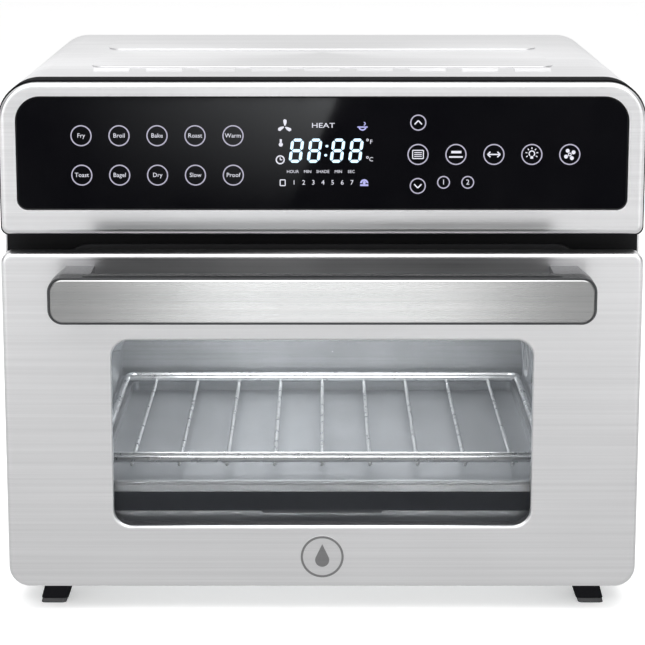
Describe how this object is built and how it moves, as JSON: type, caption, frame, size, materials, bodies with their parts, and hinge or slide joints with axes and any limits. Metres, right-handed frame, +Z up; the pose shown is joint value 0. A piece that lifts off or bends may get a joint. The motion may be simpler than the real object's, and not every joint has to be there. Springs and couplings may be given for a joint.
{
  "type": "toaster oven",
  "caption": "Countertop toaster oven with a touch control head, drop-down glass door with bar handle, sliding wire rack, drip pan, crumb tray and convection fan.",
  "frame": {"origin": "on the worktop, under the middle of the oven's box", "axes": "+X to the user's right along the width, door faces -Y, +Z up"},
  "size_m": [0.41, 0.384, 0.352],
  "materials": {
    "brushed_wrap": "horizontally brushed stainless sheet",
    "brushed_front": "fine horizontal brush, satin",
    "handle_plate_steel": "fine horizontal brush with a bright cut edge",
    "gunmetal": "satin dark grey paint",
    "post_grey": "satin mid grey paint",
    "black_glass": "gloss black back-printed glass",
    "window_glass": "clear toughened pane",
    "black_plastic": "fine grained black moulding",
    "pad_rubber": "grey soft rubber",
    "seal_silicone": "dark silicone",
    "frame_black": "semi-matt black enamel",
    "galvanised": "zinc coated sheet",
    "cavity_steel": "grey non-stick coated steel",
    "door_liner_steel": "grey enamel",
    "chrome_wire": "bright nickel chrome plate",
    "heater_sheath": "oxidised nickel alloy sheath",
    "steatite": "matt white ceramic",
    "hinge_steel": "zinc passivated steel",
    "pin_steel": "ground bright steel",
    "spring_steel": "drawn spring wire",
    "screw_steel": "nickel plated screws",
    "blade_aluminium": "pressed aluminium",
    "motor_iron": "varnished iron stack",
    "board_green": "solder masked glass-epoxy board",
    "display_black": "smoked display block",
    "relay_black": "moulded case",
    "glass_wool": "compressed glass wool blanket",
    "lamp_glass": "clear heatproof glass"
  },
  "bodies": {
    "oven": {"wrapper": "brushed_wrap", "head_bezel": "brushed_front", "control_glass": "black_glass", "head_surround": "black_plastic", "foot_front_left": "black_plastic", "foot_front_right": "black_plastic", "foot_rear_left": "black_plastic", "foot_rear_right": "black_plastic", "rear_spacers": "black_plastic", "cord_gland": "black_plastic", "door_sensor": "black_plastic", "foot_pads": "pad_rubber", "door_seal": "seal_silicone", "front_frame": "frame_black", "base_plate": "galvanised", "rear_cover": "galvanised", "heat_shield": "galvanised", "motor_bracket": "galvanised", "cavity_liner": "cavity_steel", "rack_rail_left": "cavity_steel", "rack_rail_right": "cavity_steel", "fan_guard": "cavity_steel", "heating_elements": "heater_sheath", "element_ceramics": "steatite", "lamp_socket": "steatite", "hinge_bracket_left": "hinge_steel", "hinge_bracket_right": "hinge_steel", "temperature_probe": "pin_steel", "case_screws": "screw_steel", "fan_motor": "motor_iron", "transformer": "motor_iron", "touch_board": "board_green", "power_board": "board_green", "display_module": "display_black", "relays": "relay_black", "terminal_block": "relay_black", "thermal_cutout": "relay_black", "insulation": "glass_wool", "lamp_lens": "lamp_glass", "lamp_bulb": "lamp_glass"},
    "door": {"door_skin": "brushed_front", "door_inner_panel": "door_liner_steel", "outer_glass": "window_glass", "inner_glass": "window_glass", "glass_frame": "seal_silicone", "handle_carrier": "gunmetal", "handle_posts": "post_grey", "handle_plate": "handle_plate_steel", "handle_screws": "screw_steel", "door_badge": "brushed_front", "hinge_leaf_left": "hinge_steel", "hinge_leaf_right": "hinge_steel", "hinge_pins": "pin_steel", "door_springs": "spring_steel"},
    "rack": {"wire_rack": "chrome_wire"},
    "pan": {"drip_pan": "cavity_steel"},
    "tray": {"crumb_tray": "cavity_steel"},
    "fan": {"fan_blade": "blade_aluminium", "fan_shaft": "pin_steel", "fan_nut": "screw_steel"}
  },
  "joints": [
    {"name": "door_hinge", "type": "hinge", "parent": "oven", "child": "door", "pos_m": [0, -0.14, 0.03], "axis": [1, 0, 0], "range_deg": [0, 81], "stiffness_Nm_per_rad": 0.6, "springref_deg": -57.3},
    {"name": "rack_slide", "type": "slide", "parent": "oven", "child": "rack", "axis": [0, -1, 0], "range_m": [0, 0.15]},
    {"name": "pan_slide", "type": "slide", "parent": "oven", "child": "pan", "axis": [0, -1, 0], "range_m": [0, 0.072]},
    {"name": "tray_slide", "type": "slide", "parent": "oven", "child": "tray", "axis": [0, -1, 0], "range_m": [0, 0.042]},
    {"name": "fan_spin", "type": "hinge", "parent": "oven", "child": "fan", "pos_m": [0.158, 0.028, 0.15], "axis": [1, 0, 0], "continuous": true}
  ],
  "couplings": [
    {"joint": "rack_slide", "follows": "door_hinge", "m_per_rad": 0.1},
    {"joint": "pan_slide", "follows": "door_hinge", "m_per_rad": 0.05},
    {"joint": "tray_slide", "follows": "door_hinge", "m_per_rad": 0.028}
  ]
}
